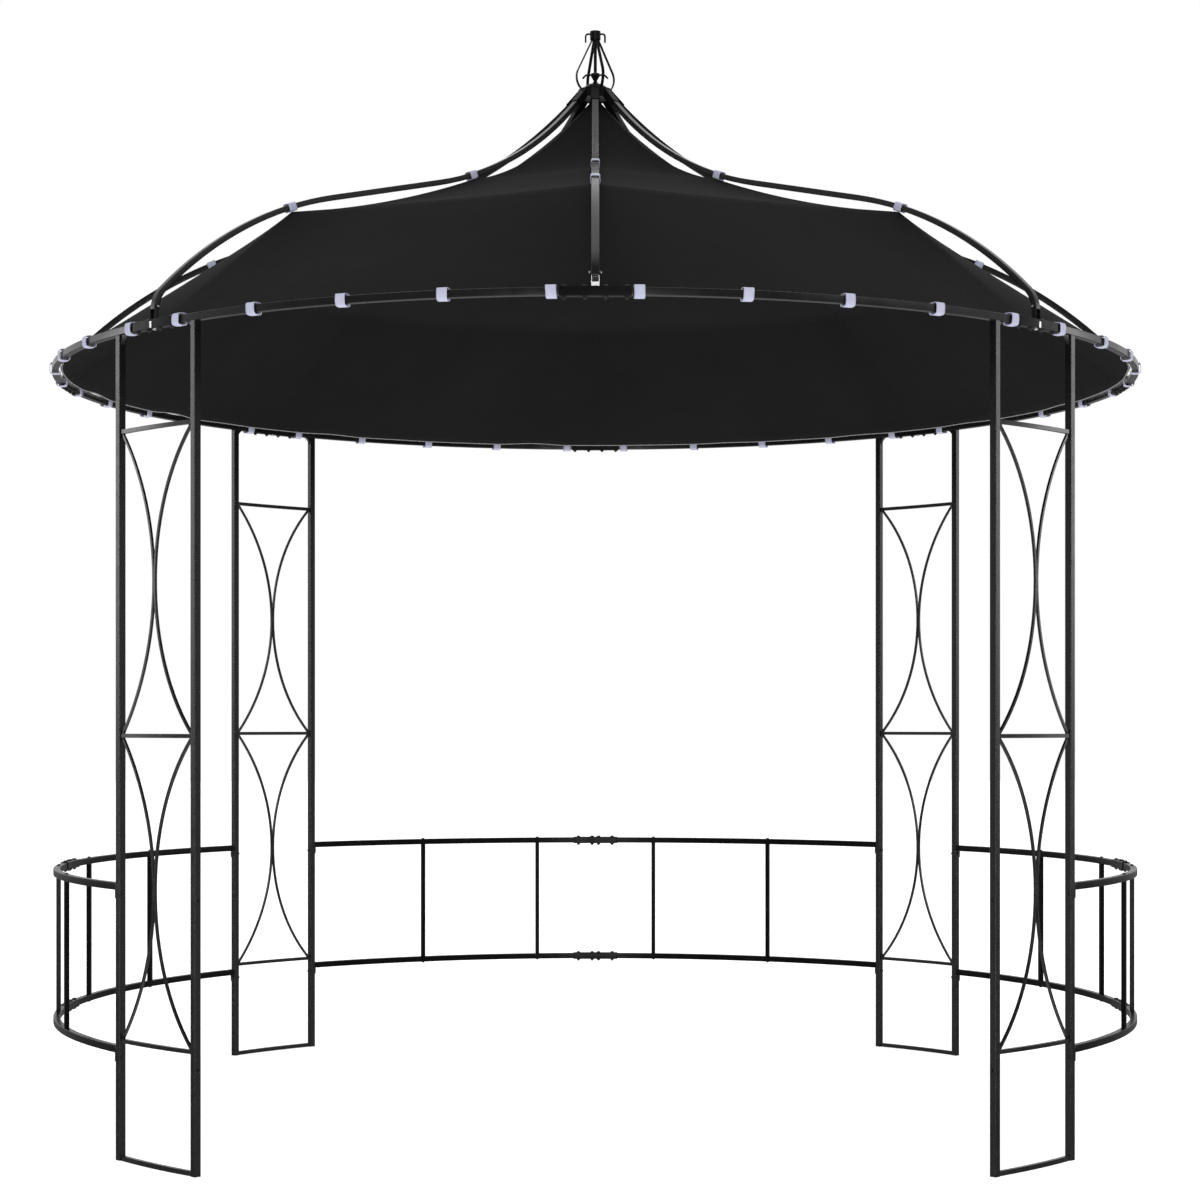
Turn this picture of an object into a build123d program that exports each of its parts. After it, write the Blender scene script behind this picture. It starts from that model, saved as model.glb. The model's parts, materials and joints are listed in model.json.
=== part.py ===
from build123d import *
import os
from math import acos, asin, atan2, cos, degrees, hypot, radians, sin, sqrt, tan

# A round garden pavilion. Four ladder columns carry a ring of square tube, eight ribs rise
# from the ring to a hub with a finial, and a fabric canopy hangs under the ribs on straps.
# Three sides have a low railing and the front is open.
# Millimetres, +Z up, origin on the ground under the hub, front towards -Y.

# Clearances
fit = 0.2                      # between a tube and what slides over it
soft_gap = 0.3                 # between the fabric and what holds it
joint_gap = 1.0                # between two tube ends inside a sleeve
overrun = 5.0                  # how far a cut runs past the faces that it opens

# Square tube and the ring
tube = 18.0                    # side of the tube of ring, posts and rails, and width of the ribs
tube_corner = 1.6              # outer corner radius of the straight posts
tube_wall = 1.5
ring_radius = 1491.0           # centre line of the ring
ring_height = 2020.0           # centre line of the ring above the ground
direction_names = ["right", "back_right", "back", "back_left", "left", "front_left", "front", "front_right"]
joint_count = len(direction_names)
joint_step = 360 / joint_count

# Sleeves over the tube joints
sleeve_wall = 1.8
ring_sleeve_length = 160.0
rail_sleeve_length = 150.0

# Ladder columns
post_spacing = 310.0           # centre to centre of the two posts
rung = 10.0                    # side of a rung
rung_height_shares = [0.1452, 0.5147, 0.8827]   # of the posts' height
base_bar_height = 12.0
scroll_bar = 6.2               # side of the bent bars between the rungs
scroll_weld = 0.5              # how far the two bent bars of a bay are pressed together
gusset_leg = 24.0
gusset_thickness = 10.0
gusset_hollow_share = 1 - sqrt(0.5)   # of the leg, at the middle of the quarter round
bolt_hole = 6.5
column_directions = ["back_right", "back_left", "front_left", "front_right"]

# Railings
railing_directions = ["right", "back", "left"]
rail_inset = 4.0               # from the ring's circle to the rails' circle
top_rail_height = 667.0
bottom_rail_height = 269.0
baluster = 12.0
baluster_count = 4
bracket_plate = 2.5
bracket_tail = 30.0            # of the bracket below the rail's centre line
bracket_bolt_drop = 18.5       # from the rail's centre line to the bolt

# Ribs, from the foot on the ring up to the hub
rib_depth = 14.0               # of the ribs' flat tube, square to the roof
foot_straight = 20.0
foot_window = 24.0             # open front of the tube end at the foot
brow_radius = 80.0             # bend above the foot
shoulder_radius = 1150.0       # long convex bend
crown_radius = 1092.0          # long concave bend up to the hub
brow_slope = 45.0              # degrees below the horizontal where the brow bend ends
run_slope = 14.9
crown_slope = 48.0
rib_end_gap = 10.0             # from the hub's round body to a rib's centre line at its end

# Hub and finial
socket_depth = 26.0
socket_root = 30.0             # of a socket inside the hub's body
socket_wall = 2.0
socket_fit = 0.5               # round the rib end, which is slightly bent
hub_radius = 48.0
hub_height = 26.0
hub_rise = 30.0                # of the hub's ledge above the rib ends
hub_ledge = 10.0               # flat rim round the dome
dome_height = 18.0
dome_bulge = 4.0
stem_radius = 4.6
stem_foot_radius = 9.0
stem_foot_height = 8.0
cup_radius = 12.5
cup_flare = 14.0               # height of the flare under the cup's rim
cup_rim = 6.5
stem_length = 145.0            # from the dome to the ceiling of the cap
cap_radius = 15.0
cap_height = 23.0
cap_wall = 3.0
hook_wire = 5.4
hook_sides = 6
hook_count = 4
hook_bend = 7.0
cap_hook_level = 16.0          # above the cap's rim
cap_hook_reach = 30.0
cap_hook_drop = 24.0
cup_hook_reach = 36.0
cup_hook_drop = 10.0
strip_width = 8.0
strip_thickness = 3.0
strip_count = 4
strip_tuck = 3.0               # of the strips inside the cap
cage_radius = 57.0             # widest circle of the cage
cage_bend = 46.0
cage_top_radius = 7.5
cage_level = 34.0              # of the widest circle above the hub's ledge

# Canopy and straps
canopy_hole_radius = 10.0
canopy_top_drop = 4.0          # from the hub's underside to the canopy's top edge
canopy_wall = 2.5
hem_wall = 5.0                 # of the steep lower part, measured level
upper_sag = 47.0
lower_sag = 17.0
upper_strap_slope = 21.4       # slope of the rib where a strap goes round it
knee_strap_slope = 21.9
hem_rise = 4.0                 # from the ring's centre line to the hem
strap_width = 24.0
rib_strap_thickness = 4.0      # of the loop, slack included
ring_strap_thickness = 5.5
straps_per_segment = 5
end_strap_gap = 5.6            # from a sleeve's end to its nearest strap

os.makedirs("parts", exist_ok=True)


def on_circle(centre, radius, angle):
    """Point of a circle in the plane of a rib, as radius and height."""
    return (centre[0] + radius * cos(radians(angle)), centre[1] + radius * sin(radians(angle)))


def radial_plane(azimuth):
    """Upright plane through the pavilion's axis, with radius and height as its coordinates."""
    turn = radians(azimuth)
    return Plane(origin=(0, 0, 0), x_dir=(cos(turn), sin(turn), 0), z_dir=(sin(turn), -cos(turn), 0))


def across_rib(azimuth, point, slope):
    """Plane square to a rib, where the rib falls outwards at a slope in degrees."""
    turn = radians(azimuth)
    fall = radians(slope)
    out = Vector(cos(turn), sin(turn), 0)
    up = Vector(0, 0, 1)
    return Plane(origin=out * point[0] + up * point[1], x_dir=(-sin(turn), cos(turn), 0),
                 z_dir=out * cos(fall) - up * sin(fall))


def azimuth_of(direction):
    return direction_names.index(direction) * joint_step


def save(part, label):
    part.label = label
    export_step(part, f"parts/{label}.step")


def turned(part, label, azimuth):
    """Write a copy of a part turned about the pavilion's axis."""
    with BuildPart() as copy:
        with Locations(Location((0, 0, 0), (0, 0, azimuth))):
            add(part)
    save(copy.part, label)


def sleeve_at(radius, height, length):
    """Square sleeve bent along a circle, centred on azimuth 0."""
    span = degrees(length / radius)
    inner = tube + 2 * fit
    with BuildPart() as sleeve:
        with BuildSketch(radial_plane(-span / 2)):
            with Locations((radius, height)):
                Rectangle(inner + 2 * sleeve_wall, inner + 2 * sleeve_wall)
                Rectangle(inner, inner, mode=Mode.SUBTRACT)
        revolve(axis=Axis.Z, revolution_arc=span)
    return sleeve.part


# Ring of eight segments, with a sleeve over each joint
joint_angle = degrees(joint_gap / ring_radius)
with BuildPart() as ring_segment:
    with BuildSketch(radial_plane(joint_angle / 2)):
        with Locations((ring_radius, ring_height)):
            Rectangle(tube, tube)
    revolve(axis=Axis.Z, revolution_arc=joint_step - joint_angle)
for number in range(joint_count):
    turned(ring_segment.part, f"ring_segment_{number + 1}", number * joint_step)

ring_sleeve = sleeve_at(ring_radius, ring_height, ring_sleeve_length)
with BuildPart() as ring_sleeves:
    with PolarLocations(0, joint_count):
        add(ring_sleeve)
save(ring_sleeves.part, "ring_sleeves")

# Ladder column at azimuth 0, with its rungs and bent bars rolled to the ring's circle
post_half = post_spacing / 2
post_place = sqrt(ring_radius**2 - post_half**2)
post_height = ring_height - tube / 2
rung_heights = [share * post_height for share in rung_height_shares]
post_angle = degrees(asin(post_half / ring_radius))
bay_half = post_half - tube / 2
side_face = post_half + tube / 2
gusset_hollow = gusset_leg * gusset_hollow_share
rail_heights = [bottom_rail_height, top_rail_height]
ladder_plane = Plane(origin=(post_place, 0, 0), x_dir=(0, 1, 0), z_dir=(1, 0, 0))
with BuildPart() as scrolls:
    for low, high in zip(rung_heights, rung_heights[1:]):
        for side in (1, -1):
            with BuildSketch(ladder_plane):
                with BuildLine():
                    waist = (side * (scroll_bar / 2 - scroll_weld), (low + high) / 2)
                    ThreePointArc((side * bay_half, low), waist, (side * bay_half, high))
                trace(line_width=scroll_bar)
            extrude(amount=tube, both=True)
    with BuildSketch(Plane.XY):
        Circle(ring_radius + scroll_bar / 2)
        Circle(ring_radius - scroll_bar / 2, mode=Mode.SUBTRACT)
    extrude(amount=post_height, mode=Mode.INTERSECT)
with BuildPart() as column:
    with BuildSketch(Plane.XY):
        with Locations((post_place, post_half), (post_place, -post_half)):
            RectangleRounded(tube, tube, tube_corner)
    extrude(amount=post_height)
    for rung_height in rung_heights:
        with BuildSketch(Plane.XY.offset(rung_height - rung / 2)):
            with BuildLine():
                CenterArc((0, 0), ring_radius, -post_angle, 2 * post_angle)
            trace(line_width=rung)
        extrude(amount=rung)
    with BuildSketch(Plane.XY):
        with BuildLine():
            CenterArc((0, 0), ring_radius, -post_angle, 2 * post_angle)
        trace(line_width=rung)
    extrude(amount=base_bar_height)
    add(scrolls.part)
    for side in (1, -1):
        with BuildSketch(ladder_plane):
            with BuildLine():
                corner = (side * bay_half, post_height)
                along_ring = (side * (bay_half - gusset_leg), post_height)
                along_post = (side * bay_half, post_height - gusset_leg)
                middle = (side * (bay_half - gusset_hollow), post_height - gusset_hollow)
                Line(corner, along_ring)
                ThreePointArc(along_ring, middle, along_post)
                Line(along_post, corner)
            make_face()
        extrude(amount=gusset_thickness / 2, both=True)
        with BuildSketch(Plane.XZ.offset(-side * side_face)):
            for rail_height in rail_heights:
                with Locations((post_place, rail_height - bracket_bolt_drop)):
                    Circle(bolt_hole / 2)
        extrude(amount=side * tube, mode=Mode.SUBTRACT)
for direction in column_directions:
    turned(column.part, f"column_{direction}", azimuth_of(direction))

# Railings: two half rails meet in a sleeve, and balusters stand between the rails
rail_radius = ring_radius - rail_inset
rail_end = side_face + bracket_plate
rail_inner = rail_radius - tube / 2
rail_outer = rail_radius + tube / 2
column_turn = joint_step
rail_half_span = column_turn - degrees(asin(rail_end / rail_radius))
baluster_step = 2 * rail_half_span / (baluster_count + 1)


def half_rail(height, side):
    """Half of a rail in the railing at azimuth 0, from the middle joint to a column."""
    ends = []
    for radius in (rail_inner, rail_outer):
        middle = degrees(asin(joint_gap / 2 / radius))
        ends.append((side * middle, side * (column_turn - degrees(asin(rail_end / radius)))))
    (inner_start, inner_stop), (outer_start, outer_stop) = ends
    with BuildPart() as rail:
        with BuildSketch(Plane.XY.offset(height - tube / 2)):
            with BuildLine():
                inner = CenterArc((0, 0), rail_inner, inner_start, inner_stop - inner_start)
                outer = CenterArc((0, 0), rail_outer, outer_start, outer_stop - outer_start)
                Line(inner @ 0, outer @ 0)
                Line(inner @ 1, outer @ 1)
            make_face()
        extrude(amount=tube)
    return rail.part


def whole_rail(height):
    with BuildPart() as rail:
        add(half_rail(height, 1))
        add(half_rail(height, -1))
    return rail.part


top_rail = whole_rail(top_rail_height)
bottom_rail = whole_rail(bottom_rail_height)
with BuildPart() as balusters:
    for place in range(baluster_count):
        angle = (place - (baluster_count - 1) / 2) * baluster_step
        with BuildSketch(Plane.XY.offset(bottom_rail_height + tube / 2).rotated((0, 0, angle))):
            with Locations((rail_radius, 0)):
                Rectangle(baluster, baluster)
        extrude(amount=top_rail_height - bottom_rail_height - tube)
for direction in railing_directions:
    turned(top_rail, f"top_rail_{direction}", azimuth_of(direction))
    turned(bottom_rail, f"bottom_rail_{direction}", azimuth_of(direction))
    turned(balusters.part, f"balusters_{direction}", azimuth_of(direction))

with BuildPart() as rail_sleeves:
    for direction in railing_directions:
        for rail_height in rail_heights:
            with Locations(Location((0, 0, 0), (0, 0, azimuth_of(direction)))):
                add(sleeve_at(rail_radius, rail_height, rail_sleeve_length))
save(rail_sleeves.part, "rail_sleeves")

# Bracket plates between the rail ends and the posts, bolted below the rail
bracket_top = tube / 2
with BuildPart() as bracket_pair:
    with BuildSketch(Plane.XZ.offset(-side_face)):
        for rail_height in rail_heights:
            with Locations((post_place, rail_height + (bracket_top - bracket_tail) / 2)):
                RectangleRounded(tube, bracket_top + bracket_tail, tube / 4)
            with Locations((post_place, rail_height - bracket_bolt_drop)):
                Circle(bolt_hole / 2, mode=Mode.SUBTRACT)
    extrude(amount=-bracket_plate)
with BuildPart() as mirrored_bracket_pair:
    add(bracket_pair.part)
    mirror(about=Plane.XZ, mode=Mode.REPLACE)
with BuildPart() as rail_brackets:
    for direction in railing_directions:
        with Locations(Location((0, 0, 0), (0, 0, azimuth_of(direction) - column_turn))):
            add(bracket_pair.part)
        with Locations(Location((0, 0, 0), (0, 0, azimuth_of(direction) + column_turn))):
            add(mirrored_bracket_pair.part)
save(rail_brackets.part, "rail_brackets")

# Rib in the plane of azimuth 0: foot, brow bend, shoulder bend, straight run and crown bend
foot_bottom = ring_height + tube / 2 + fit + sleeve_wall
foot_top = foot_bottom + foot_straight
brow_centre = (ring_radius - brow_radius, foot_top)
brow_end_angle = 90 - brow_slope
run_angle = 90 - run_slope
crown_angle = 90 - crown_slope
brow_end = on_circle(brow_centre, brow_radius, brow_end_angle)
shoulder_centre = on_circle(brow_end, -shoulder_radius, brow_end_angle)
shoulder_end = on_circle(shoulder_centre, shoulder_radius, run_angle)
crown_reach = crown_radius * (cos(radians(crown_angle)) - cos(radians(run_angle)))
run_length = (shoulder_end[0] - crown_reach - hub_radius - rib_end_gap) / cos(radians(run_slope))
run_end = on_circle(shoulder_end, run_length, 180 - run_slope)
crown_centre = on_circle(run_end, crown_radius, run_angle)
rib_top = on_circle(crown_centre, -crown_radius, crown_angle)
with BuildPart() as rib:
    with BuildSketch(Plane.XZ):
        with BuildLine():
            Line((ring_radius, foot_bottom), (ring_radius, foot_top))
            CenterArc(brow_centre, brow_radius, 0, brow_end_angle)
            CenterArc(shoulder_centre, shoulder_radius, brow_end_angle, run_angle - brow_end_angle)
            Line(shoulder_end, run_end)
            CenterArc(crown_centre, crown_radius, 180 + run_angle, crown_angle - run_angle)
        trace(line_width=rib_depth)
    extrude(amount=tube / 2, both=True)
    with BuildSketch(Plane.YZ.offset(ring_radius + rib_depth / 2)):
        with Locations((0, foot_bottom + (foot_window - overrun) / 2)):
            Rectangle(tube - 2 * tube_wall, foot_window + overrun)
    extrude(amount=tube_wall - rib_depth, mode=Mode.SUBTRACT)
for direction in direction_names:
    turned(rib.part, f"rib_{direction}", azimuth_of(direction))

# Hub: a domed body with a socket for each rib
socket_width = tube + 2 * socket_fit
socket_rise = rib_depth + 2 * socket_fit
hub_top = rib_top[1] + hub_rise
hub_bottom = hub_top - hub_height
dome_top = hub_top + dome_height
with BuildPart() as hub:
    with BuildSketch(Plane.XZ):
        with BuildLine():
            Polyline((stem_foot_radius, dome_top), (0, dome_top), (0, hub_bottom), (hub_radius, hub_bottom),
                     (hub_radius, hub_top), (hub_radius - hub_ledge, hub_top))
            SagittaArc((hub_radius - hub_ledge, hub_top), (stem_foot_radius, dome_top), -dome_bulge)
        make_face()
    revolve(axis=Axis.Z)
    for direction in direction_names:
        with BuildSketch(across_rib(azimuth_of(direction), rib_top, crown_slope).offset(-socket_root)):
            Rectangle(socket_width + 2 * socket_wall, socket_rise + 2 * socket_wall)
        extrude(amount=socket_root + socket_depth)
    for direction in direction_names:
        with BuildSketch(across_rib(azimuth_of(direction), rib_top, crown_slope)):
            Rectangle(socket_width, socket_rise)
        extrude(amount=socket_depth + overrun, mode=Mode.SUBTRACT)
save(hub.part, "hub")

# Finial stem with a flared cup, standing on the dome
cup_bottom = dome_top + stem_foot_height
cup_edge = cup_bottom + cup_flare
cup_top = cup_edge + cup_rim
stem_top = dome_top + stem_length
with BuildPart() as finial_stem:
    with BuildSketch(Plane.XZ):
        with BuildLine():
            Polyline((stem_radius, cup_top), (stem_radius, stem_top), (0, stem_top), (0, dome_top),
                     (stem_foot_radius, dome_top))
            Line((stem_foot_radius, dome_top), (stem_radius, cup_bottom))
            Line((stem_radius, cup_bottom), (cup_radius, cup_edge))
            Polyline((cup_radius, cup_edge), (cup_radius, cup_top), (stem_radius, cup_top))
        make_face()
    revolve(axis=Axis.Z)
    for number in range(hook_count):
        hook_level = cup_edge + cup_rim / 2
        hook_plane = radial_plane(number * 360 / hook_count)
        with BuildLine(hook_plane) as wire:
            FilletPolyline((stem_radius, hook_level), (cup_hook_reach - cup_hook_drop, hook_level),
                           (cup_hook_reach, hook_level - cup_hook_drop), radius=hook_bend)
        with BuildSketch(Plane(wire.line @ 0, z_dir=wire.line % 0)):
            RegularPolygon(hook_wire / 2, hook_sides)
        sweep(path=wire.line)
save(finial_stem.part, "finial_stem")

# Cap over the stem's top, an upturned cup with hanging hooks
cap_top = stem_top + cap_wall
cap_rim_height = cap_top - cap_height
with BuildPart() as finial_cap:
    with BuildSketch(Plane.XY.offset(cap_rim_height)):
        Circle(cap_radius)
    extrude(amount=cap_height)
    with BuildSketch(Plane.XY.offset(cap_rim_height)):
        Circle(cap_radius - cap_wall)
    extrude(amount=cap_height - cap_wall, mode=Mode.SUBTRACT)
    for number in range(hook_count):
        hook_level = cap_rim_height + cap_hook_level
        hook_end = cap_hook_reach - hook_wire / 2
        with BuildLine(radial_plane(number * 360 / hook_count)) as wire:
            FilletPolyline((cap_radius - cap_wall / 2, hook_level), (hook_end, hook_level),
                           (hook_end, hook_level - cap_hook_drop), radius=hook_bend)
        with BuildSketch(Plane(wire.line @ 0, z_dir=wire.line % 0)):
            RegularPolygon(hook_wire / 2, hook_sides)
        sweep(path=wire.line)
save(finial_cap.part, "finial_cap")

# Cage of bent strips between the hub's ledge and the cap
bend_centre = (cage_radius - cage_bend, hub_top + cage_level)
strip_top = (cage_top_radius, cap_rim_height + strip_tuck)
rise = strip_top[1] - bend_centre[1]
lean = strip_top[0] - bend_centre[0]
straight_angle = degrees(atan2(rise, lean)) - degrees(acos(cage_bend / hypot(rise, lean)))
foot_angle = -degrees(asin(cage_level / cage_bend)) - degrees(strip_thickness / cage_bend)
with BuildPart() as cage_strip:
    with BuildSketch(Plane.XZ):
        with BuildLine():
            Line(strip_top, on_circle(bend_centre, cage_bend, straight_angle))
            CenterArc(bend_centre, cage_bend, straight_angle, foot_angle - straight_angle)
        trace(line_width=strip_thickness)
    extrude(amount=strip_width / 2, both=True)
    split(bisect_by=Plane.XY.offset(hub_top), keep=Keep.TOP)
with BuildPart() as finial_cage:
    with PolarLocations(0, strip_count, start_angle=joint_step / 2):
        add(cage_strip.part)
save(finial_cage.part, "finial_cage")

# Canopy gore at azimuth 0: an upper sheet that sags between the straps, straight from seam to
# seam, and a lower wall that goes over from the straight knee to the round hem
seam_angle = joint_step / 2
seam_share = cos(radians(seam_angle))
seam_spread = tan(radians(seam_angle))
under_rib = rib_depth / 2 + fit + rib_strap_thickness + soft_gap
upper_strap_place = on_circle(crown_centre, -crown_radius, 90 - upper_strap_slope)
knee_strap_place = on_circle(shoulder_centre, shoulder_radius, 90 - knee_strap_slope)
upper_seam = on_circle(upper_strap_place, -under_rib, 90 - upper_strap_slope)
knee_seam = on_circle(knee_strap_place, -under_rib, 90 - knee_strap_slope)
top_seam = (canopy_hole_radius, hub_bottom - canopy_top_drop)


def gore_point(seam_point, drop=0):
    """Middle of a gore at the height of a seam point, lowered by a drop."""
    return (seam_point[0] * seam_share, seam_point[1] - drop)


def sagging(first, last, sag):
    """Seam point half way between two others, let down by a sag."""
    return ((first[0] + last[0]) / 2, (first[1] + last[1]) / 2 - sag)


upper_middle = sagging(top_seam, upper_seam, upper_sag)
lower_middle = sagging(upper_seam, knee_seam, lower_sag)
knee_outer = gore_point(knee_seam)
knee_inner = (knee_outer[0] - hem_wall, knee_outer[1])
hem_radius = ring_radius - tube / 2 - fit - ring_strap_thickness - soft_gap
hem_height = ring_height + hem_rise
with BuildPart() as gore:
    with BuildSketch(Plane.XZ):
        with BuildLine():
            ThreePointArc(gore_point(top_seam), gore_point(upper_middle), gore_point(upper_seam))
            ThreePointArc(gore_point(upper_seam), gore_point(lower_middle), knee_outer)
            Line(knee_outer, knee_inner)
            ThreePointArc(knee_inner, gore_point(lower_middle, canopy_wall),
                          gore_point(upper_seam, canopy_wall))
            ThreePointArc(gore_point(upper_seam, canopy_wall), gore_point(upper_middle, canopy_wall),
                          gore_point(top_seam, canopy_wall))
            Line(gore_point(top_seam, canopy_wall), gore_point(top_seam))
        make_face()
    extrude(amount=ring_radius * seam_spread, both=True)
    with BuildSketch(Plane.XY.offset(knee_outer[1])):
        Polygon((0, 0), (ring_radius, ring_radius * seam_spread), (ring_radius, -ring_radius * seam_spread),
                align=None)
    extrude(amount=hub_top - knee_outer[1], mode=Mode.INTERSECT)
    with BuildSketch(Plane.XY.offset(knee_outer[1])) as knee_section:
        Polygon((knee_inner[0], -knee_inner[0] * seam_spread), (knee_outer[0], -knee_outer[0] * seam_spread),
                (knee_outer[0], knee_outer[0] * seam_spread), (knee_inner[0], knee_inner[0] * seam_spread),
                align=None)
    with BuildSketch(Plane.XY.offset(hem_height)) as hem_section:
        with BuildLine():
            inner_hem = CenterArc((0, 0), hem_radius - hem_wall, -seam_angle, 2 * seam_angle)
            outer_hem = CenterArc((0, 0), hem_radius, -seam_angle, 2 * seam_angle)
            Line(inner_hem @ 0, outer_hem @ 0)
            Line(inner_hem @ 1, outer_hem @ 1)
        make_face()
    loft(sections=[hem_section.sketch, knee_section.sketch], ruled=True)
for number in range(joint_count):
    turned(gore.part, f"canopy_gore_{number + 1}", number * joint_step + seam_angle)

# Straps: two loops round each rib, and loops that tie the hem to the ring
rib_strap_width = tube + 2 * fit
rib_strap_rise = rib_depth + 2 * fit
with BuildPart() as rib_straps:
    for direction in direction_names:
        for place, slope in ((upper_strap_place, upper_strap_slope), (knee_strap_place, knee_strap_slope)):
            with BuildSketch(across_rib(azimuth_of(direction), place, slope)):
                RectangleRounded(rib_strap_width + 2 * rib_strap_thickness,
                                 rib_strap_rise + 2 * rib_strap_thickness, rib_strap_thickness)
                Rectangle(rib_strap_width, rib_strap_rise, mode=Mode.SUBTRACT)
            extrude(amount=strap_width / 2, both=True)
save(rib_straps.part, "rib_straps")

ring_strap_outer = tube + 2 * (fit + ring_strap_thickness)
ring_strap_span = degrees(strap_width / ring_radius)
end_strap_angle = degrees((ring_sleeve_length / 2 + end_strap_gap + strap_width / 2) / ring_radius)
strap_step = (joint_step - 2 * end_strap_angle) / (straps_per_segment - 1)
with BuildPart() as ring_strap:
    with BuildSketch(radial_plane(-ring_strap_span / 2)):
        with Locations((ring_radius, ring_height)):
            RectangleRounded(ring_strap_outer, ring_strap_outer, ring_strap_thickness)
            Rectangle(tube + 2 * fit, tube + 2 * fit, mode=Mode.SUBTRACT)
    revolve(axis=Axis.Z, revolution_arc=ring_strap_span)
with BuildPart() as ring_straps:
    for place in range(straps_per_segment):
        with PolarLocations(0, joint_count, start_angle=end_strap_angle + place * strap_step):
            add(ring_strap.part)
save(ring_straps.part, "ring_straps")
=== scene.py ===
import json
import math
import random

import bmesh
import bpy
from mathutils import Matrix, Vector


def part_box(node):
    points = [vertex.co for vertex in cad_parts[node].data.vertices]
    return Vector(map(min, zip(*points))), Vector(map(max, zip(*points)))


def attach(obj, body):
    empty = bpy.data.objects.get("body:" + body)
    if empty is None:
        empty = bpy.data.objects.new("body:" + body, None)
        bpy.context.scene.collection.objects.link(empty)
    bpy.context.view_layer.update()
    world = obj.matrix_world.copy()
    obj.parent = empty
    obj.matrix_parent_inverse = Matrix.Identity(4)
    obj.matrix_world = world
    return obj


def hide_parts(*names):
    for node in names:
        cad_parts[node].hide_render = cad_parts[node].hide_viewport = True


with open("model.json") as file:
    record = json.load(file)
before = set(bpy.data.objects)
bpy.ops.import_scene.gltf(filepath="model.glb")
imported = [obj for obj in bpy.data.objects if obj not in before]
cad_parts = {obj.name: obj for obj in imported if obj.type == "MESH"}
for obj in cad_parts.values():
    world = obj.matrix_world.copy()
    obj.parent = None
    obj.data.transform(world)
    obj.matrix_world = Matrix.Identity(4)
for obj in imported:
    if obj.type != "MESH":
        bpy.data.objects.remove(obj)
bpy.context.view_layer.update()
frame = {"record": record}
random.seed(7)

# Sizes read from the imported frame, in metres
sleeve_low, sleeve_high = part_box("ring_sleeves")
segment_low, segment_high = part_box("ring_segment_1")
rail_low, rail_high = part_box("top_rail_back")
low_rail_low, low_rail_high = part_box("bottom_rail_back")
SLEEVE = sleeve_high.z - sleeve_low.z
TUBE = segment_high.z - segment_low.z
RING_RADIUS = sleeve_high.x - SLEEVE / 2
RING_HEIGHT = (segment_high.z + segment_low.z) / 2
RAIL_RADIUS = rail_high.y - TUBE / 2
TOP_RAIL = (rail_high.z + rail_low.z) / 2
BOTTOM_RAIL = (low_rail_high.z + low_rail_low.z) / 2
FOOT_BOTTOM = sleeve_high.z

# Sizes that the solids are built from, in metres and degrees
JOINTS = 8
STEP = 360 / JOINTS
RAILING_AZIMUTHS = (0.0, 90.0, 180.0)
POST_SPACING = 0.310
BRACKET_BOLT_DROP = 0.0185
BRACKET_PLATE = 0.0025
BALUSTERS = 4
TUBE_WALL = 0.0015
RIB_DEPTH = 0.014
FOOT_STRAIGHT = 0.020
FOOT_WINDOW = 0.024
BROW_RADIUS = 0.080
SHOULDER_RADIUS = 1.150
CROWN_RADIUS = 1.092
RIB_TOP_RADIUS = 0.058
BROW_SLOPE = 45.0
RUN_SLOPE = 14.9
CROWN_SLOPE = 48.0
HUB_HEIGHT = 0.026
HUB_RISE = 0.030
EDGE_ROUND = 0.0015

# Canopy
UPPER_STRAP_SLOPE = 21.4
KNEE_STRAP_SLOPE = 21.9
UNDER_RIB = 0.0117
CANOPY_HOLE = 0.010
CANOPY_TOP_DROP = 0.005
UPPER_SAG = 0.047
LOWER_SAG = 0.017
PANEL_SAG = 0.005
HEM_HEIGHT = RING_HEIGHT + 0.002
HEM_INSET = 0.0065
HEM_RADIUS = RING_RADIUS - TUBE / 2 - HEM_INSET
SCALLOP = 0.0065
SCALLOP_INWARD_SHARE = 0.5
SCALLOP_FADE = 0.10
LEAST_SLACK_SHARE = 0.1
CLOTH = 0.0008
TAPE_HALF = 0.011
TAPE_LIFT = 0.0011
HEM_TAPE = 0.0035
GORE_COLUMNS = 48
HEM_COLUMN = 0.024
UPPER_ROWS = 16
LOWER_ROWS = 16
WALL_ROWS = 22
ALL_ROWS = UPPER_ROWS + LOWER_ROWS + WALL_ROWS

# Straps; a slack is what a loop has beyond the tube inside it
STRAPS_PER_SEGMENT = 5
STRAP_WIDTH = 0.024
STRAP_THICKNESS = 0.0016
STRAP_LEAN = 0.06
STRAP_SPREAD_SHARE = 0.03
STRAP_CUTS = 4
CORNER_STEPS = 4
RING_STRAP_SLACK = 0.0114
RING_STRAP_CORNER = 0.0065
RING_STRAP_BULGE = 0.0006
RIB_STRAP_SIDE_SLACK = 0.0052
RIB_STRAP_RISE_SLACK = 0.0084
RIB_STRAP_CORNER = 0.004
RIB_STRAP_BULGE = 0.0003
END_STRAP_PLACE = 0.0976
END_STRAP_ANGLE = math.degrees(END_STRAP_PLACE / RING_RADIUS)

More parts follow.
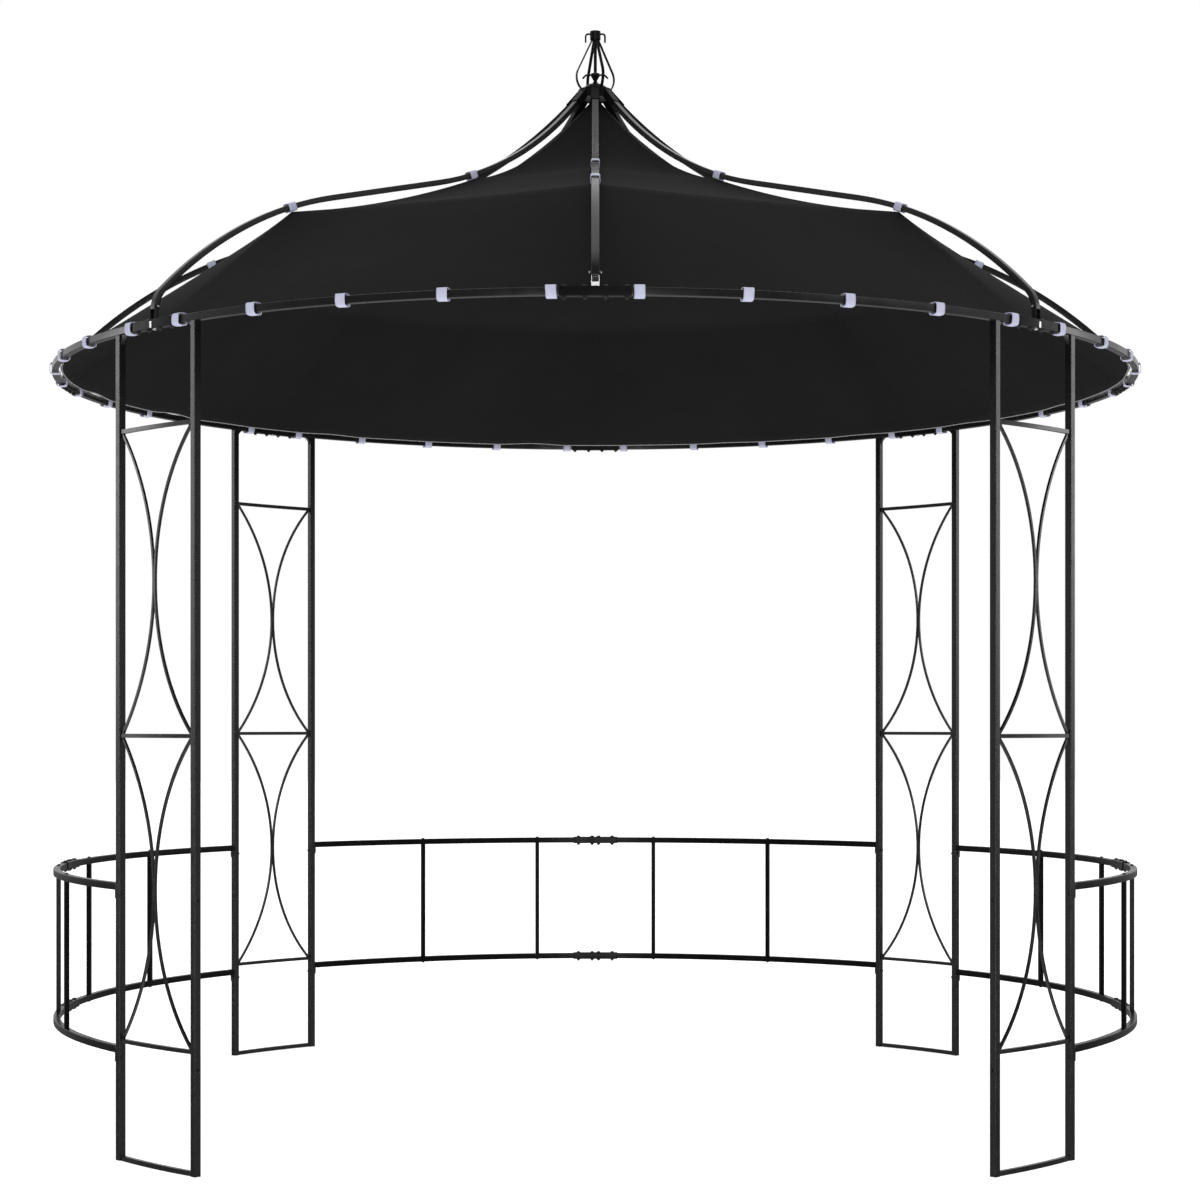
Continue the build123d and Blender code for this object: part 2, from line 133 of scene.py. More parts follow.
# Bolts, nuts and bare metal
RING_SLEEVE_BOLTS = (-0.070, -0.023, 0.023, 0.070)
RAIL_SLEEVE_BOLTS = (-0.058, -0.011, 0.011, 0.058)
HEXAGON = 6
BOLT_FLATS = 0.010
HEAD_HEIGHT = 0.004
NUT_HEIGHT = 0.004
HEAD_SIDE_SHARE = 0.8
HEAD_TOP_SHARE = 0.86
WASHER_RADIUS_SHARE = 1.25
WASHER_HEIGHT_SHARE = 0.2
SHANK_RADIUS = 0.003
SHANK_END = 0.0065
SHANK_SIDES = 10
ROUND_SIDES = 16
FOOT_BOLT_RISE = 0.031
FOOT_BOLT_INSET = 0.0008
FOOT_BOLT_SHARE = 0.7
FOOT_SHANK_SHARE = 0.8
FOOT_SHANK_END = 0.0012
BARE_EDGE = 0.0006
BARE_EDGE_LIFT = 0.0002
PLUG_DEPTH = 0.0110
PLUG_HEIGHT = 0.0088
PLUG_LEVEL = 0.0047
PLUG_INSET = 0.0052
PLUG_GAP = 0.0004
LIP = 0.0008
LUG_DEPTH = 0.0016
LUG_WIDTH = 0.0075
LUG_HEIGHT = 0.0150
LUG_DROP = 0.002
STUD_RADIUS = 0.0045
STUD_END = 0.003
SCREW_WASHER_RADIUS = 0.0052
SCREW_WASHER = 0.0016
SCREW_RADIUS = 0.0036
SCREW_HEAD = 0.0034

# Camera fitted to the photograph: distance and height in metres, the rest in pixels of its 1200 pixel frame
CAMERA_DISTANCE = 6.840
CAMERA_HEIGHT = 1.058
FOCAL_PIXELS = 2418.5
AXIS_COLUMN = 595.3
HORIZON_ROW = 726.3
FRAME_PIXELS = 1200
SENSOR = 36.0
FAR = 200.0

# Stage; a lamp has a name, a place, an aim, a size and a power in watts
FLOOR_HALF = 40.0
LAMPS = (
    ("key", (-4.5, -5.0, 7.0), (0, 0, 1.2), 4.0, 60),
    ("fill", (5.5, -4.0, 5.0), (0, 0, 1.2), 4.0, 45),
    ("back", (0.0, 6.0, 7.0), (0, 0, 1.5), 5.0, 25),
    ("front", (0.0, -9.0, 0.4), (0, 0, 1.6), 3.0, 330),
)


# Node helpers
def new_material(name):
    material = bpy.data.materials.new(name)
    material.use_nodes = True
    tree = material.node_tree
    shader = tree.nodes["Principled BSDF"]
    return material, tree, shader


def ramp(tree, source, span, result):
    """Map a span of the source to a pair of results, held level outside the span."""
    made = tree.nodes.new("ShaderNodeMapRange")
    made.inputs["From Min"].default_value = span[0]
    made.inputs["From Max"].default_value = span[1]
    made.inputs["To Min"].default_value = result[0]
    made.inputs["To Max"].default_value = result[1]
    tree.links.new(source, made.inputs["Value"])
    return made.outputs["Result"]


def mixed(tree, factor, first, last):
    made = tree.nodes.new("ShaderNodeMix")
    made.data_type = "RGBA"
    made.inputs[6].default_value = (*first, 1)
    made.inputs[7].default_value = (*last, 1)
    tree.links.new(factor, made.inputs[0])
    return made.outputs[2]


def combined(tree, operation, *sources):
    made = tree.nodes.new("ShaderNodeMath")
    made.operation = operation
    for index, source in enumerate(sources):
        tree.links.new(source, made.inputs[index])
    return made.outputs["Value"]


def noise(tree, scale, detail=3.0, roughness=0.5):
    place = tree.nodes.new("ShaderNodeTexCoord")
    made = tree.nodes.new("ShaderNodeTexNoise")
    made.inputs["Scale"].default_value = scale
    made.inputs["Detail"].default_value = detail
    made.inputs["Roughness"].default_value = roughness
    tree.links.new(place.outputs["Object"], made.inputs["Vector"])
    return made.outputs["Fac"]


def bands(tree, direction, scale, distortion):
    """Waves across the cloth, in the metres of its UV map."""
    place = tree.nodes.new("ShaderNodeUVMap")
    made = tree.nodes.new("ShaderNodeTexWave")
    made.bands_direction = direction
    made.inputs["Scale"].default_value = scale
    made.inputs["Distortion"].default_value = distortion
    tree.links.new(place.outputs["UV"], made.inputs["Vector"])
    return made.outputs["Fac"]


def bump(tree, shader, height, strength, distance):
    made = tree.nodes.new("ShaderNodeBump")
    made.inputs["Strength"].default_value = strength
    made.inputs["Distance"].default_value = distance
    tree.links.new(height, made.inputs["Height"])
    tree.links.new(made.outputs["Normal"], shader.inputs["Normal"])


# Materials
def frame_paint(name, gloss):
    """Satin anthracite powder coat: fine orange peel and faint dust."""
    material, tree, shader = new_material(name)
    dust = ramp(tree, noise(tree, scale=9.0, detail=5.0, roughness=0.6), (0.42, 0.72), (0.0, 1.0))
    colour = mixed(tree, dust, (0.0070, 0.0070, 0.0072), (0.0125, 0.0122, 0.0118))
    rough = ramp(tree, noise(tree, scale=38.0, detail=4.0), (0.3, 0.7), (0.23, 0.30))
    tree.links.new(colour, shader.inputs["Base Color"])
    tree.links.new(rough, shader.inputs["Roughness"])
    shader.inputs["Specular IOR Level"].default_value = gloss
    bump(tree, shader, noise(tree, scale=900.0, detail=2.0), strength=0.04, distance=0.0003)
    return material


def canopy_fabric():
    """Dark woven polyester: fine weave, a soft sheen and faint creases."""
    material, tree, shader = new_material("canopy_fabric")
    weave = combined(tree, "MAXIMUM", bands(tree, "X", 130.0, 0.6), bands(tree, "Y", 130.0, 0.6))
    creases = ramp(tree, noise(tree, scale=5.0, detail=6.0, roughness=0.62), (0.0, 1.0), (0.0, 14.0))
    tone = ramp(tree, noise(tree, scale=3.2, detail=5.0, roughness=0.6), (0.35, 0.7), (0.0, 1.0))
    colour = mixed(tree, tone, (0.0128, 0.0128, 0.0129), (0.0152, 0.0151, 0.0150))
    tree.links.new(colour, shader.inputs["Base Color"])
    shader.inputs["Roughness"].default_value = 0.88
    shader.inputs["Specular IOR Level"].default_value = 0.04
    shader.inputs["Sheen Weight"].default_value = 0.01
    shader.inputs["Sheen Roughness"].default_value = 0.5
    bump(tree, shader, combined(tree, "ADD", creases, weave), strength=0.30, distance=0.0006)
    return material


def strap_webbing(name, clean, soiled):
    """Webbing with ribs along the band and a little grime."""
    material, tree, shader = new_material(name)
    grime = ramp(tree, noise(tree, scale=60.0, detail=4.0), (0.45, 0.75), (0.0, 0.6))
    tree.links.new(mixed(tree, grime, clean, soiled), shader.inputs["Base Color"])
    shader.inputs["Roughness"].default_value = 0.8
    shader.inputs["Specular IOR Level"].default_value = 0.3
    bump(tree, shader, bands(tree, "X", 150.0, 0.8), strength=0.5, distance=0.0004)
    return material


def zinc():
    """Bright zinc plating with faint streaks."""
    material, tree, shader = new_material("zinc_plate")
    streaks = noise(tree, scale=220.0)
    colour = mixed(tree, streaks, (0.74, 0.74, 0.73), (0.88, 0.88, 0.87))
    rough = ramp(tree, streaks, (0.3, 0.7), (0.30, 0.48))
    tree.links.new(colour, shader.inputs["Base Color"])
    tree.links.new(rough, shader.inputs["Roughness"])
    shader.inputs["Metallic"].default_value = 0.75
    bump(tree, shader, noise(tree, scale=900.0), strength=0.15, distance=0.0002)
    return material


def dark_zinc():
    """Blackened bolts and nuts."""
    material, tree, shader = new_material("dark_zinc")
    spots = noise(tree, scale=300.0)
    colour = mixed(tree, spots, (0.018, 0.018, 0.019), (0.045, 0.044, 0.043))
    rough = ramp(tree, spots, (0.3, 0.7), (0.32, 0.5))
    tree.links.new(colour, shader.inputs["Base Color"])
    tree.links.new(rough, shader.inputs["Roughness"])
    shader.inputs["Metallic"].default_value = 0.5
    bump(tree, shader, noise(tree, scale=1200.0), strength=0.2, distance=0.0002)
    return material


PAINT = frame_paint("frame_paint", gloss=0.42)
DULL_PAINT = frame_paint("dull_paint", gloss=0.05)
FABRIC = canopy_fabric()
# The blue tint in both strap colours is painted bluish shade on white webbing.
WEBBING = strap_webbing("strap_webbing", clean=(0.71, 0.72, 0.92), soiled=(0.60, 0.61, 0.80))
HEM_WEB = strap_webbing("hem_webbing", clean=(0.36, 0.36, 0.37), soiled=(0.26, 0.26, 0.27))
ZINC = zinc()
DARK = dark_zinc()


# Mesh helpers
def piece_from(mesh_data, name, material, smooth=True):
    """Object from a bmesh, riding on the pavilion."""
    mesh = bpy.data.meshes.new(name)
    mesh_data.to_mesh(mesh)
    mesh_data.free()
    mesh.materials.append(material)
    for face in mesh.polygons:
        face.use_smooth = smooth
    made = bpy.data.objects.new(name, mesh)
    bpy.context.scene.collection.objects.link(made)
    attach(made, "root")
    return made


def thicken(piece, thickness):
    solid = piece.modifiers.new("thickness", "SOLIDIFY")
    solid.thickness = thickness
    solid.offset = 0


def turn(azimuth):
    return Matrix.Rotation(math.radians(azimuth), 4, "Z")


def on_circle(centre, radius, angle):
    swing = math.radians(angle)
    return (centre[0] + radius * math.cos(swing), centre[1] + radius * math.sin(swing))


# The carried-over solids keep their shapes and get paint and rounded edges
def soften(solid):
    """Round the long edges of a carried-over solid."""
    weld = solid.modifiers.new("weld", "WELD")
    weld.merge_threshold = 1e-5
    bevel = solid.modifiers.new("bevel", "BEVEL")
    bevel.width = EDGE_ROUND
    bevel.segments = 2
    bevel.limit_method = "ANGLE"
    bevel.angle_limit = math.radians(50)
    normals = solid.modifiers.new("normals", "WEIGHTED_NORMAL")
    normals.mode = "FACE_AREA"
    normals.weight = 100


def dress_frame():
    """Glossy paint on ring, ribs and columns; the rails, sleeves, hub and finial are duller."""
    dull = ("top_rail", "bottom_rail", "balusters", "hub", "finial")
    for entry in frame["record"]["subparts"]:
        name = entry["node"]
        if entry["material_slot"] == "frame_paint":
            solid = bpy.data.objects[name]
            is_dull = name.startswith(dull) or name.endswith("sleeves")
            solid.data.materials.clear()
            solid.data.materials.append(DULL_PAINT if is_dull else PAINT)
            if not name.startswith(("finial", "balusters")):
                soften(solid)


dress_frame()

# Places on a rib, as radius and height
FOOT_TOP = FOOT_BOTTOM + FOOT_STRAIGHT
BROW_CENTRE = (RING_RADIUS - BROW_RADIUS, FOOT_TOP)
BROW_END = on_circle(BROW_CENTRE, BROW_RADIUS, 90 - BROW_SLOPE)
SHOULDER_CENTRE = on_circle(BROW_END, -SHOULDER_RADIUS, 90 - BROW_SLOPE)
SHOULDER_END = on_circle(SHOULDER_CENTRE, SHOULDER_RADIUS, 90 - RUN_SLOPE)
CROWN_REACH = CROWN_RADIUS * (math.sin(math.radians(CROWN_SLOPE)) - math.sin(math.radians(RUN_SLOPE)))
RUN_LENGTH = (SHOULDER_END[0] - CROWN_REACH - RIB_TOP_RADIUS) / math.cos(math.radians(RUN_SLOPE))
RUN_END = on_circle(SHOULDER_END, RUN_LENGTH, 180 - RUN_SLOPE)
CROWN_CENTRE = on_circle(RUN_END, CROWN_RADIUS, 90 - RUN_SLOPE)
RIB_TOP = on_circle(CROWN_CENTRE, -CROWN_RADIUS, 90 - CROWN_SLOPE)
UPPER_STRAP = on_circle(CROWN_CENTRE, -CROWN_RADIUS, 90 - UPPER_STRAP_SLOPE)
KNEE_STRAP = on_circle(SHOULDER_CENTRE, SHOULDER_RADIUS, 90 - KNEE_STRAP_SLOPE)

# Canopy: one sheet of eight gores, on the same seams as the solids
TOP_SEAM = (CANOPY_HOLE, RIB_TOP[1] + HUB_RISE - HUB_HEIGHT - CANOPY_TOP_DROP)
UPPER_SEAM = on_circle(UPPER_STRAP, -UNDER_RIB, 90 - UPPER_STRAP_SLOPE)
KNEE_SEAM = on_circle(KNEE_STRAP, -UNDER_RIB, 90 - KNEE_STRAP_SLOPE)
STRAP_STEP = (STEP - 2 * END_STRAP_ANGLE) / (STRAPS_PER_SEGMENT - 1)
BAYS = STRAPS_PER_SEGMENT + 1
BAY_SLACK = [random.uniform(LEAST_SLACK_SHARE, 1.0) ** 2 for bay in range(JOINTS * BAYS)]


def sagging(first, last, sag, share):
    """Point of a seam between two straps, let down by a sag in its middle."""
    fall = 4 * sag * share * (1 - share)
    return (first[0] + (last[0] - first[0]) * share, first[1] + (last[1] - first[1]) * share - fall)


def strap_pull(gore, angle):
    """Slack of the hem, 0 at a ring strap and most half way to the next, for an angle within a segment."""
    phase = (angle - END_STRAP_ANGLE) / STRAP_STEP
    bay = math.floor(phase) + 1
    if bay < 1 or bay >= STRAPS_PER_SEGMENT:
        return 0.0
    return BAY_SLACK[gore * BAYS + bay] * math.sin(math.pi * phase) ** 2


def wall_point(gore, share, across, sag):
    """Point between the straight knee line and the round, scalloped hem."""
    half = math.radians(STEP / 2)
    middle = KNEE_SEAM[0] * math.cos(half)
    knee = Vector((middle, across * middle * math.tan(half), KNEE_SEAM[1]))
    angle = across * half
    pull = strap_pull(gore, math.degrees(angle) + STEP / 2)
    hem_radius = HEM_RADIUS - SCALLOP * SCALLOP_INWARD_SHARE * pull
    hem = Vector((hem_radius * math.cos(angle), hem_radius * math.sin(angle), HEM_HEIGHT))
    point = knee.lerp(hem, share)
    to_hem = (1 - share) * (knee - hem).length
    point.z += SCALLOP * pull * math.exp(-to_hem / SCALLOP_FADE) - sag * (1 - share)
    return point


def gore_point(gore, row, across):
    """Point of a gore turned to azimuth 0; across runs from -1 to 1 between its seams."""
    half = math.radians(STEP / 2)
    sag = PANEL_SAG * (1 - across * across)
    if row > UPPER_ROWS + LOWER_ROWS:
        return wall_point(gore, (row - UPPER_ROWS - LOWER_ROWS) / WALL_ROWS, across, sag)
    if row > UPPER_ROWS:
        radius, height = sagging(UPPER_SEAM, KNEE_SEAM, LOWER_SAG, (row - UPPER_ROWS) / LOWER_ROWS)
    else:
        radius, height = sagging(TOP_SEAM, UPPER_SEAM, UPPER_SAG, row / UPPER_ROWS)
        sag *= row / UPPER_ROWS
    middle = radius * math.cos(half)
    return Vector((middle, across * middle * math.tan(half), height - sag))


def placed_point(gore, row, across):
    """Point of a gore in its place on the roof."""
    return turn((gore + 0.5) * STEP) @ gore_point(gore, row, across)


def column_share(column):
    return 2 * column / GORE_COLUMNS - 1


def canopy_sheet():
    """All rows of the canopy as one sheet; its UV map lies along each gore, in metres."""
    sheet = bmesh.new()
    uv = sheet.loops.layers.uv.new("weave")
    rows = []
    for row in range(ALL_ROWS + 1):
        ring = []
        for gore in range(JOINTS):
            for column in range(GORE_COLUMNS):
                ring.append(sheet.verts.new(placed_point(gore, row, column_share(column))))
        rows.append(ring)
    count = JOINTS * GORE_COLUMNS
    for upper, lower in zip(rows, rows[1:]):
        for column in range(count):
            after = (column + 1) % count
            face = sheet.faces.new((upper[column], lower[column], lower[after], upper[after]))
            gore_turn = turn(-(column // GORE_COLUMNS + 0.5) * STEP)
            for loop in face.loops:
                flat = gore_turn @ loop.vert.co
                loop[uv].uv = (flat.y, math.hypot(flat.x, flat.z))
    bmesh.ops.recalc_face_normals(sheet, faces=sheet.faces)
    return piece_from(sheet, "canopy", FABRIC)


def seam_strips():
    """Tapes sewn along the eight seams, on the underside."""
    strips = bmesh.new()
    uv = strips.loops.layers.uv.new("weave")
    inward_down = Vector((-0.7, 0, -0.7))
    for gore in range(JOINTS):
        lift = turn(gore * STEP) @ inward_down * TAPE_LIFT
        previous = None
        for row in range(1, ALL_ROWS):
            seam = placed_point(gore, row, -1.0)
            half_width = math.hypot(seam.x, seam.y) * math.sin(math.radians(STEP / 2))
            edge = 1 - min(0.9, TAPE_HALF / half_width)
            points = (placed_point(gore - 1, row, edge), seam, placed_point(gore, row, -edge))
            current = [strips.verts.new(point + lift) for point in points]
            if previous:
                for index in range(2):
                    corners = (previous[index], current[index], current[index + 1], previous[index + 1])
                    for loop in strips.faces.new(corners).loops:
                        loop[uv].uv = (loop.vert.co.x, loop.vert.co.y)
            previous = current
    return piece_from(strips, "seam_tape", FABRIC)


def hem_strip():
    """Light tape sewn round the inside of the hem."""
    strip = bmesh.new()
    uv = strip.loops.layers.uv.new("weave")
    rings = ([], [])
    for gore in range(JOINTS):
        for column in range(GORE_COLUMNS):
            hem = placed_point(gore, ALL_ROWS, column_share(column))
            above = placed_point(gore, ALL_ROWS - 1, column_share(column))
            lift = Vector((-hem.x, -hem.y, 0)).normalized() * TAPE_LIFT
            rings[0].append(strip.verts.new(hem + lift))
            rings[1].append(strip.verts.new(hem + (above - hem).normalized() * HEM_TAPE + lift))
    count = len(rings[0])
    for index in range(count):
        after = (index + 1) % count
        face = strip.faces.new((rings[0][index], rings[0][after], rings[1][after], rings[1][index]))
        for loop, place in zip(face.loops, ((0, 0), (0, 1), (1, 1), (1, 0))):
            loop[uv].uv = (place[0] * HEM_TAPE, (index + place[1]) * HEM_COLUMN)
    return piece_from(strip, "hem_tape", HEM_WEB)


seam_tape = seam_strips()
hem_tape = hem_strip()
canopy = canopy_sheet()
thicken(canopy, CLOTH)
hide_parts(*[f"canopy_gore_{number + 1}" for number in range(JOINTS)])


# Straps
def soft_loop(width, rise, corner, bulge):
    """Points of a slack loop: a rectangle with round corners whose sides swell by a bulge."""
    points = []
    for quarter, (side, top) in enumerate(((1, 1), (-1, 1), (-1, -1), (1, -1))):
        centre = Vector((side * (width / 2 - corner), top * (rise / 2 - corner)))
        for step in range(CORNER_STEPS + 1):
            angle = math.radians(90 * quarter + 90 * step / CORNER_STEPS)
            points.append(centre + corner * Vector((math.cos(angle), math.sin(angle))))
        after = math.radians(90 * quarter + 90)
        out = Vector((math.cos(after), math.sin(after)))
        middle = Vector((out.x * width / 2, out.y * rise / 2))
        points.append(middle + bulge * out)
    return points


def strap_loop(builder, uv, section, place):
    """Closed band through the section's points; place maps a length along the tube and a point to space."""
    rings = []
    for cut in range(STRAP_CUTS + 1):
        along = STRAP_WIDTH * (cut / STRAP_CUTS - 0.5)
        rings.append([builder.verts.new(place(along, point)) for point in section])
    count = len(section)
    length = 0.0
    for index in range(count):
        after = (index + 1) % count
        step = (section[after] - section[index]).length
        for cut in range(STRAP_CUTS):
            face = builder.faces.new((rings[cut][index], rings[cut + 1][index],
                                      rings[cut + 1][after], rings[cut][after]))
            corners = ((cut, 0), (cut + 1, 0), (cut + 1, step), (cut, step))
            for loop, (across, extra) in zip(face.loops, corners):
                loop[uv].uv = (STRAP_WIDTH * across / STRAP_CUTS, length + extra)
        length += step


def strap_piece(straps, name, node):
    """All straps of one kind as a piece in place of their solids."""
    bmesh.ops.recalc_face_normals(straps, faces=straps.faces)
    made = piece_from(straps, name, WEBBING)
    thicken(made, STRAP_THICKNESS)
    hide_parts(node)


def ring_straps():
    """Five straps to each ring segment, no two alike."""
    straps = bmesh.new()
    uv = straps.loops.layers.uv.new("weave")
    side = TUBE + RING_STRAP_SLACK - STRAP_THICKNESS
    for joint in range(JOINTS):
        for number in range(STRAPS_PER_SEGMENT):
            azimuth = joint * STEP + END_STRAP_ANGLE + number * STRAP_STEP
            lean = random.uniform(-STRAP_LEAN, STRAP_LEAN)
            rise = side * random.uniform(1 - STRAP_SPREAD_SHARE, 1 + STRAP_SPREAD_SHARE)
            section = soft_loop(side, rise, RING_STRAP_CORNER, RING_STRAP_BULGE)

            def place(along, point, azimuth=azimuth, lean=lean):
                radius = RING_RADIUS + point.x
                angle = math.radians(azimuth) + (along + lean * point.y) / RING_RADIUS
                return Vector((radius * math.cos(angle), radius * math.sin(angle), RING_HEIGHT + point.y))

            strap_loop(straps, uv, section, place)
    strap_piece(straps, "hem_straps", "ring_straps")


def rib_straps():
    """Two straps round each rib, above and below its straight run."""
    straps = bmesh.new()
    uv = straps.loops.layers.uv.new("weave")
    width = TUBE + RIB_STRAP_SIDE_SLACK - STRAP_THICKNESS
    rise = RIB_DEPTH + RIB_STRAP_RISE_SLACK - STRAP_THICKNESS
    section = soft_loop(width, rise, RIB_STRAP_CORNER, RIB_STRAP_BULGE)
    for joint in range(JOINTS):
        for spot, slope in ((UPPER_STRAP, UPPER_STRAP_SLOPE), (KNEE_STRAP, KNEE_STRAP_SLOPE)):
            fall = math.radians(slope)

            def place(along, point, joint=joint, spot=spot, fall=fall):
                radius = spot[0] + along * math.cos(fall) + point.y * math.sin(fall)
                height = spot[1] - along * math.sin(fall) + point.y * math.cos(fall)
                return turn(joint * STEP) @ Vector((radius, point.x, height))

            strap_loop(straps, uv, section, place)
    strap_piece(straps, "seam_straps", "rib_straps")


ring_straps()
rib_straps()


# Bolts and nuts
def prism(builder, place, sides, levels):
    """Closed prism along the Z of place; levels are pairs of radius and height."""
    rings = []
    for radius, level in levels:
        ring = []
        for corner in range(sides):
            angle = 2 * math.pi * corner / sides
            point = Vector((radius * math.cos(angle), radius * math.sin(angle), level))
            ring.append(builder.verts.new(place @ point))
        rings.append(ring)
    for lower, upper in zip(rings, rings[1:]):
        for corner in range(sides):
            after = (corner + 1) % sides
            builder.faces.new((lower[corner], lower[after], upper[after], upper[corner]))
    builder.faces.new(rings[-1])
    builder.faces.new(list(reversed(rings[0])))


def disc(builder, place, radius, height, sides=ROUND_SIDES):
    """Flat round washer or shank along the Z of place."""
    prism(builder, place, sides, [(radius, 0.0), (radius, height)])


def hex_head(builder, place, across_flats, height, washer=True):
    """Hexagon head with a bevelled top, seated at the origin of place and rising along its Z."""
    radius = across_flats / math.sqrt(3)
    levels = [(radius, 0.0), (radius, height * HEAD_SIDE_SHARE), (radius * HEAD_TOP_SHARE, height)]
    prism(builder, place, HEXAGON, levels)
    if washer:
        disc(builder, place, radius * WASHER_RADIUS_SHARE, height * WASHER_HEIGHT_SHARE)


def box(builder, place, size):
    """Upright block with its middle at the origin of place."""
    made = bmesh.ops.create_cube(builder, size=1.0)
    for vert in made["verts"]:
        vert.co = place @ Vector([vert.co[axis] * size[axis] for axis in range(3)])


def aimed(out, up):
    """Turn that lays the Z of a fitting along a direction."""
    third = up.cross(out)
    return Matrix((up, third, out)).transposed().to_4x4()


DOWN = Matrix.Rotation(math.pi, 4, "X")
SIDEWAYS = aimed(Vector((0, 1, 0)), Vector((0, 0, 1)))
BACKWARDS = aimed(Vector((0, -1, 0)), Vector((0, 0, 1)))


def sleeve_bolts(name, circle, steps, places):
    """Upright bolts through the sleeves on a circle; places are azimuths and heights."""
    bolts = bmesh.new()
    for azimuth, height in places:
        for along in steps:
            spot = turn(azimuth + math.degrees(along / circle)) @ Matrix.Translation((circle, 0, height))
            twist = Matrix.Rotation(random.uniform(0, 1), 4, "Z")
            over = spot @ Matrix.Translation((0, 0, SLEEVE / 2))
            under = spot @ Matrix.Translation((0, 0, -SLEEVE / 2)) @ DOWN
            hex_head(bolts, over @ twist, BOLT_FLATS, HEAD_HEIGHT)
            hex_head(bolts, under @ twist, BOLT_FLATS, NUT_HEIGHT)
            disc(bolts, under, SHANK_RADIUS, SHANK_END, SHANK_SIDES)
    piece_from(bolts, name, DARK, smooth=False)


def foot_fittings():
    """Cross bolts through the rib feet, and bare tube ends at the feet between the columns."""
    bolts = bmesh.new()
    bare = bmesh.new()
    front = RING_RADIUS + RIB_DEPTH / 2
    bolt_level = FOOT_BOTTOM + FOOT_BOLT_RISE
    for joint in range(JOINTS):
        spin = turn(joint * STEP)
        for aim, side, height in ((SIDEWAYS, 1, HEAD_HEIGHT), (BACKWARDS, -1, NUT_HEIGHT)):
            place = Matrix.Translation((RING_RADIUS - FOOT_BOLT_INSET, side * TUBE / 2, bolt_level))
            seat = spin @ place @ aim
            hex_head(bolts, seat, BOLT_FLATS * FOOT_BOLT_SHARE, height, washer=False)
            disc(bare, seat, SHANK_RADIUS * FOOT_SHANK_SHARE, height + FOOT_SHANK_END, SHANK_SIDES)
        if joint % 2:
            continue
        for side in (1, -1):
            wall_middle = side * (TUBE - TUBE_WALL) / 2
            wall = Matrix.Translation((front + BARE_EDGE_LIFT, wall_middle, FOOT_BOTTOM + FOOT_WINDOW / 2))
            box(bare, spin @ wall, (BARE_EDGE, TUBE_WALL, FOOT_WINDOW))
        plug = Matrix.Translation((front - PLUG_INSET, 0, FOOT_BOTTOM + PLUG_LEVEL))
        box(bare, spin @ plug, (PLUG_DEPTH, TUBE - 2 * TUBE_WALL - PLUG_GAP, PLUG_HEIGHT))
        lip = Matrix.Translation((front + LIP, 0, FOOT_BOTTOM + PLUG_LEVEL))
        box(bare, spin @ lip, (LIP, TUBE, PLUG_HEIGHT))
    piece_from(bolts, "foot_bolts", DARK, smooth=False)
    piece_from(bare, "foot_plugs", ZINC, smooth=False)


def sleeve_lugs():
    """Bare lugs on the outer face of the sleeves over the columns, and the studs under them."""
    lugs = bmesh.new()
    for joint in range(1, JOINTS, 2):
        spin = turn(joint * STEP)
        seat = Matrix.Translation((RING_RADIUS + SLEEVE / 2 + LUG_DEPTH / 2, 0, RING_HEIGHT - LUG_DROP))
        stud = Matrix.Translation((RING_RADIUS, 0, RING_HEIGHT - SLEEVE / 2)) @ DOWN
        box(lugs, spin @ seat, (LUG_DEPTH, LUG_WIDTH, LUG_HEIGHT))
        disc(lugs, spin @ stud, STUD_RADIUS, STUD_END)
    piece_from(lugs, "sleeve_lugs", ZINC, smooth=False)


def railing_fittings():
    """Bolts through the rail brackets, and a screw at both ends of each baluster."""
    bolts = bmesh.new()
    screws = bmesh.new()
    post_place = math.sqrt(RING_RADIUS ** 2 - (POST_SPACING / 2) ** 2)
    side_face = POST_SPACING / 2 + TUBE / 2
    half_span = STEP - math.degrees(math.asin((side_face + BRACKET_PLATE) / RAIL_RADIUS))
    step = 2 * half_span / (BALUSTERS + 1)
    for azimuth in RAILING_AZIMUTHS:
        for height in (TOP_RAIL, BOTTOM_RAIL):
            level = height - BRACKET_BOLT_DROP
            for side, aim, away in ((1, SIDEWAYS, BACKWARDS), (-1, BACKWARDS, SIDEWAYS)):
                spin = turn(azimuth - side * STEP)
                outside = Matrix.Translation((post_place, side * (side_face + BRACKET_PLATE), level))
                inside = Matrix.Translation((post_place, side * (side_face - TUBE), level))
                hex_head(bolts, spin @ outside @ aim, BOLT_FLATS, HEAD_HEIGHT)
                hex_head(bolts, spin @ inside @ away, BOLT_FLATS, NUT_HEIGHT)
                disc(bolts, spin @ inside @ away, SHANK_RADIUS, SHANK_END, SHANK_SIDES)
        for place in range(BALUSTERS):
            spin = turn(azimuth + (place - (BALUSTERS - 1) / 2) * step)
            over = spin @ Matrix.Translation((RAIL_RADIUS, 0, TOP_RAIL + TUBE / 2))
            under = spin @ Matrix.Translation((RAIL_RADIUS, 0, BOTTOM_RAIL - TUBE / 2)) @ DOWN
            for seat in (over, under):
                disc(screws, seat, SCREW_WASHER_RADIUS, SCREW_WASHER)
                disc(screws, seat, SCREW_RADIUS, SCREW_HEAD)
    piece_from(bolts, "bracket_bolts", DARK, smooth=False)
    piece_from(screws, "baluster_screws", DARK, smooth=False)


sleeve_bolts("ring_bolts", RING_RADIUS, RING_SLEEVE_BOLTS,
             [(joint * STEP, RING_HEIGHT) for joint in range(JOINTS)])
sleeve_bolts("rail_bolts", RAIL_RADIUS, RAIL_SLEEVE_BOLTS,
             [(azimuth, height) for azimuth in RAILING_AZIMUTHS for height in (TOP_RAIL, BOTTOM_RAIL)])
foot_fittings()
sleeve_lugs()
railing_fittings()


